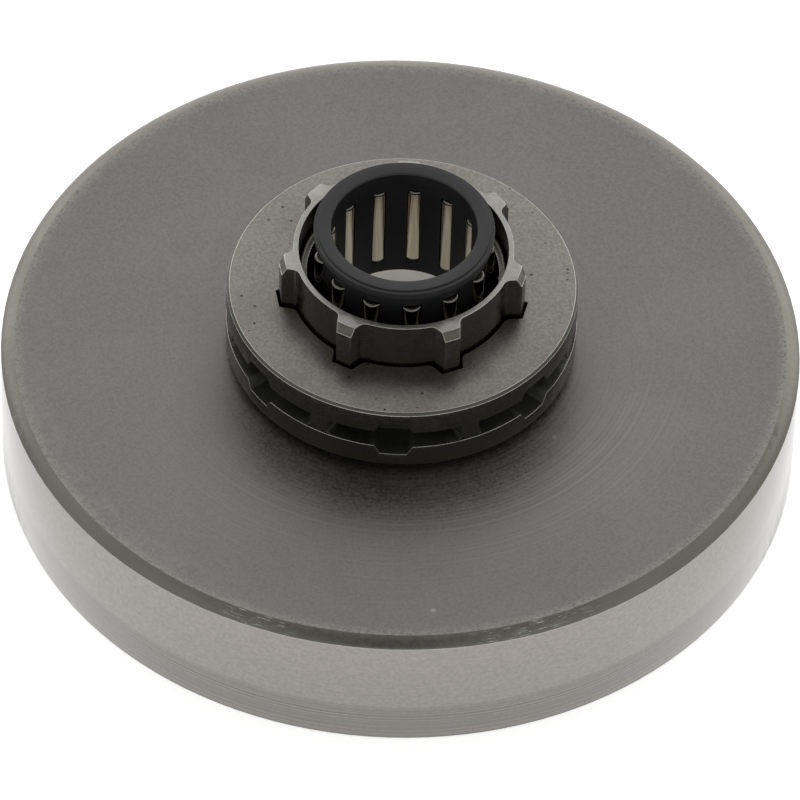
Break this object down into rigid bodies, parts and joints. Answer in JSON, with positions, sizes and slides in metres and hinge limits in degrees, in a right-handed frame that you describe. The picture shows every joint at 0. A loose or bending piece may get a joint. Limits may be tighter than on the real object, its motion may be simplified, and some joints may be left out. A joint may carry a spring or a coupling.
{
  "type": "chainsaw clutch drum with rim sprocket",
  "caption": "Pressed steel clutch drum with a splined hub, a rim sprocket that floats on the splines and a caged needle bearing, which drives a chainsaw's chain.",
  "frame": {"origin": "on the shaft's axis, in the plane of the drum's open edge, on which it stands", "axes": "+Z along the shaft's axis, from the open edge to the sprocket; -Y to the picture's front, +X to its right"},
  "size_m": [0.08, 0.08, 0.0308],
  "materials": {
    "drum_steel": "matt grey face, turned bright on the outer wall",
    "hub_steel": "satin, hardened grey, with bright edges",
    "rim_steel": "sintered, with small pits and bright edges",
    "cage_plastic": "black moulded plastic with a faint sheen",
    "roller_steel": "ground and polished"
  },
  "bodies": {
    "drum": {"clutch_drum": "drum_steel", "splined_hub": "hub_steel"},
    "rim": {"rim_sprocket": "rim_steel"},
    "bearing": {"needle_cage": "cage_plastic"},
    "roller_01": {"needle_roller_01": "roller_steel"},
    "roller_02": {"needle_roller_02": "roller_steel"},
    "roller_03": {"needle_roller_03": "roller_steel"},
    "roller_04": {"needle_roller_04": "roller_steel"},
    "roller_05": {"needle_roller_05": "roller_steel"},
    "roller_06": {"needle_roller_06": "roller_steel"},
    "roller_07": {"needle_roller_07": "roller_steel"},
    "roller_08": {"needle_roller_08": "roller_steel"},
    "roller_09": {"needle_roller_09": "roller_steel"},
    "roller_10": {"needle_roller_10": "roller_steel"},
    "roller_11": {"needle_roller_11": "roller_steel"},
    "roller_12": {"needle_roller_12": "roller_steel"},
    "roller_13": {"needle_roller_13": "roller_steel"}
  },
  "joints": [
    {"name": "rim_float", "type": "slide", "parent": "drum", "child": "rim", "axis": [0, 0, 1], "range_m": [0, 0.0052]},
    {"name": "bearing_spin", "type": "hinge", "parent": "drum", "child": "bearing", "pos_m": [0, 0, 0.02345], "axis": [0, 0, 1], "continuous": true},
    {"name": "roller_spin_01", "type": "hinge", "parent": "bearing", "child": "roller_01", "pos_m": [0.00093, -0.00795, 0.02345], "axis": [0, 0, 1], "continuous": true},
    {"name": "roller_spin_02", "type": "hinge", "parent": "bearing", "child": "roller_02", "pos_m": [0.00452, -0.0066, 0.02345], "axis": [0, 0, 1], "continuous": true},
    {"name": "roller_spin_03", "type": "hinge", "parent": "bearing", "child": "roller_03", "pos_m": [0.00707, -0.00375, 0.02345], "axis": [0, 0, 1], "continuous": true},
    {"name": "roller_spin_04", "type": "hinge", "parent": "bearing", "child": "roller_04", "pos_m": [0.008, -0.00003, 0.02345], "axis": [0, 0, 1], "continuous": true},
    {"name": "roller_spin_05", "type": "hinge", "parent": "bearing", "child": "roller_05", "pos_m": [0.0071, 0.00369, 0.02345], "axis": [0, 0, 1], "continuous": true},
    {"name": "roller_spin_06", "type": "hinge", "parent": "bearing", "child": "roller_06", "pos_m": [0.00457, 0.00657, 0.02345], "axis": [0, 0, 1], "continuous": true},
    {"name": "roller_spin_07", "type": "hinge", "parent": "bearing", "child": "roller_07", "pos_m": [0.001, 0.00794, 0.02345], "axis": [0, 0, 1], "continuous": true},
    {"name": "roller_spin_08", "type": "hinge", "parent": "bearing", "child": "roller_08", "pos_m": [-0.00281, 0.00749, 0.02345], "axis": [0, 0, 1], "continuous": true},
    {"name": "roller_spin_09", "type": "hinge", "parent": "bearing", "child": "roller_09", "pos_m": [-0.00597, 0.00533, 0.02345], "axis": [0, 0, 1], "continuous": true},
    {"name": "roller_spin_10", "type": "hinge", "parent": "bearing", "child": "roller_10", "pos_m": [-0.00776, 0.00194, 0.02345], "axis": [0, 0, 1], "continuous": true},
    {"name": "roller_spin_11", "type": "hinge", "parent": "bearing", "child": "roller_11", "pos_m": [-0.00777, -0.00188, 0.02345], "axis": [0, 0, 1], "continuous": true},
    {"name": "roller_spin_12", "type": "hinge", "parent": "bearing", "child": "roller_12", "pos_m": [-0.00601, -0.00528, 0.02345], "axis": [0, 0, 1], "continuous": true},
    {"name": "roller_spin_13", "type": "hinge", "parent": "bearing", "child": "roller_13", "pos_m": [-0.00287, -0.00747, 0.02345], "axis": [0, 0, 1], "continuous": true}
  ],
  "couplings": [
    {"joint": "roller_spin_01", "follows": "bearing_spin", "ratio": -9.03},
    {"joint": "roller_spin_02", "follows": "bearing_spin", "ratio": -9.03},
    {"joint": "roller_spin_03", "follows": "bearing_spin", "ratio": -9.03},
    {"joint": "roller_spin_04", "follows": "bearing_spin", "ratio": -9.03},
    {"joint": "roller_spin_05", "follows": "bearing_spin", "ratio": -9.03},
    {"joint": "roller_spin_06", "follows": "bearing_spin", "ratio": -9.03},
    {"joint": "roller_spin_07", "follows": "bearing_spin", "ratio": -9.03},
    {"joint": "roller_spin_08", "follows": "bearing_spin", "ratio": -9.03},
    {"joint": "roller_spin_09", "follows": "bearing_spin", "ratio": -9.03},
    {"joint": "roller_spin_10", "follows": "bearing_spin", "ratio": -9.03},
    {"joint": "roller_spin_11", "follows": "bearing_spin", "ratio": -9.03},
    {"joint": "roller_spin_12", "follows": "bearing_spin", "ratio": -9.03},
    {"joint": "roller_spin_13", "follows": "bearing_spin", "ratio": -9.03}
  ]
}
